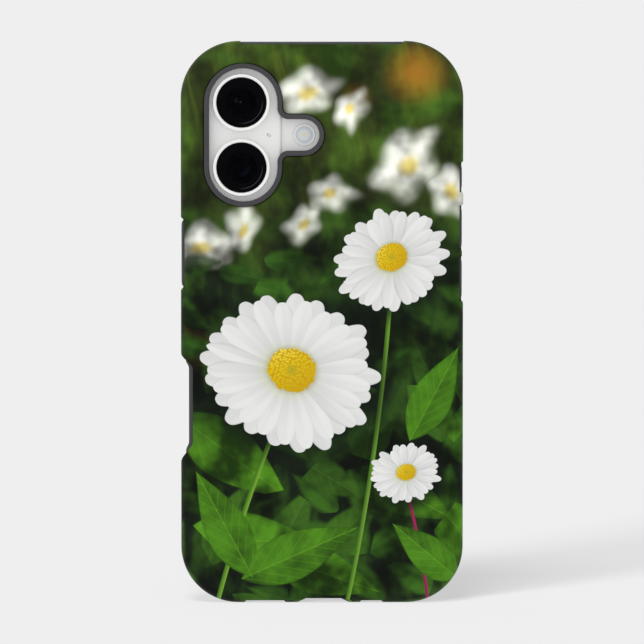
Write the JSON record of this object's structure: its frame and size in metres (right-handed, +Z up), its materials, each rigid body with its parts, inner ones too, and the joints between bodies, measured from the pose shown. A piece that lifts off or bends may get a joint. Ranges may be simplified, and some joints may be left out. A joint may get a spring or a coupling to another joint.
{
  "type": "phone in a two-piece protective case",
  "caption": "Phone in a two-piece protective case: a floral printed hard shell over a dark flexible liner, standing on its bottom edge with pressable side keys.",
  "frame": {"origin": "middle of the bounding box's underside, on the surface that the case's bottom edge stands on", "axes": "+Z up along the length, -Y out of the camera side, +Y out of the display, +X to the right as seen from the camera side"},
  "size_m": [0.0776, 0.0122, 0.1548],
  "materials": {
    "printed_shell": "hard moulded shell with a satin floral print over the back and sides",
    "liner_rubber": "dark grey flexible moulding, matt",
    "frame_metal": "pale blasted and anodised metal",
    "back_glass": "white colour-infused glass, matt on the flat and glossy on the camera plateau",
    "lens_ring": "pale polished ring",
    "lens_glass": "black coated cover glass",
    "lens_black": "black camera barrel",
    "flash_diffuser": "pale translucent diffuser with fine rings",
    "display_glass": "black display glass, switched off",
    "key_metal": "pale anodised key",
    "port_metal": "drawn steel sleeve",
    "steel": "plain steel",
    "plate_metal": "plain sheet",
    "black_plastic": "black moulded plastic and film",
    "battery_wrap": "black film over a foil pouch",
    "circuit_board": "green solder mask",
    "copper": "wound copper foil"
  },
  "bodies": {
    "phone_in_case": {"outer_shell": "printed_shell", "inner_liner": "liner_rubber", "frame_band": "frame_metal", "back_glass": "back_glass", "display_glass": "display_glass", "display_panel": "black_plastic", "midplate": "plate_metal", "side_button_switch": "steel", "action_button_switch": "steel", "volume_up_switch": "steel", "volume_down_switch": "steel", "camera_switch": "steel", "upper_lens_ring": "lens_ring", "upper_lens_glass": "lens_glass", "upper_camera_module": "lens_black", "lower_lens_ring": "lens_ring", "lower_lens_glass": "lens_glass", "lower_camera_module": "lens_black", "flash_cover": "flash_diffuser", "flash_board": "circuit_board", "rear_microphone": "black_plastic", "battery": "battery_wrap", "logic_board": "circuit_board", "lower_board_shield": "steel", "upper_board_shield": "steel", "charging_coil": "copper", "magnet_ring": "steel", "front_camera": "black_plastic", "earpiece_speaker": "black_plastic", "haptic_motor": "steel", "bottom_speaker": "black_plastic", "charging_port": "port_metal", "port_flex": "circuit_board", "bottom_screw_left": "steel", "bottom_screw_right": "steel"},
    "side_button": {"side_button_cover": "liner_rubber", "side_button_key": "key_metal"},
    "action_button": {"action_button_cover": "liner_rubber", "action_button_key": "key_metal"},
    "volume_up": {"volume_up_cover": "liner_rubber", "volume_up_key": "key_metal"},
    "volume_down": {"volume_down_cover": "liner_rubber", "volume_down_key": "key_metal"},
    "camera_button": {"camera_key": "key_metal"}
  },
  "joints": [
    {"name": "side_button_press", "type": "slide", "parent": "phone_in_case", "child": "side_button", "axis": [1, 0, 0], "range_m": [0, 0.00025], "stiffness_N_per_m": 4000, "springref_m": -0.00025},
    {"name": "action_button_press", "type": "slide", "parent": "phone_in_case", "child": "action_button", "axis": [-1, 0, 0], "range_m": [0, 0.00025], "stiffness_N_per_m": 4000, "springref_m": -0.00025},
    {"name": "volume_up_press", "type": "slide", "parent": "phone_in_case", "child": "volume_up", "axis": [-1, 0, 0], "range_m": [0, 0.00025], "stiffness_N_per_m": 4000, "springref_m": -0.00025},
    {"name": "volume_down_press", "type": "slide", "parent": "phone_in_case", "child": "volume_down", "axis": [-1, 0, 0], "range_m": [0, 0.00025], "stiffness_N_per_m": 4000, "springref_m": -0.00025},
    {"name": "camera_button_press", "type": "slide", "parent": "phone_in_case", "child": "camera_button", "axis": [1, 0, 0], "range_m": [0, 0.0001], "stiffness_N_per_m": 8000, "springref_m": -0.00015}
  ]
}
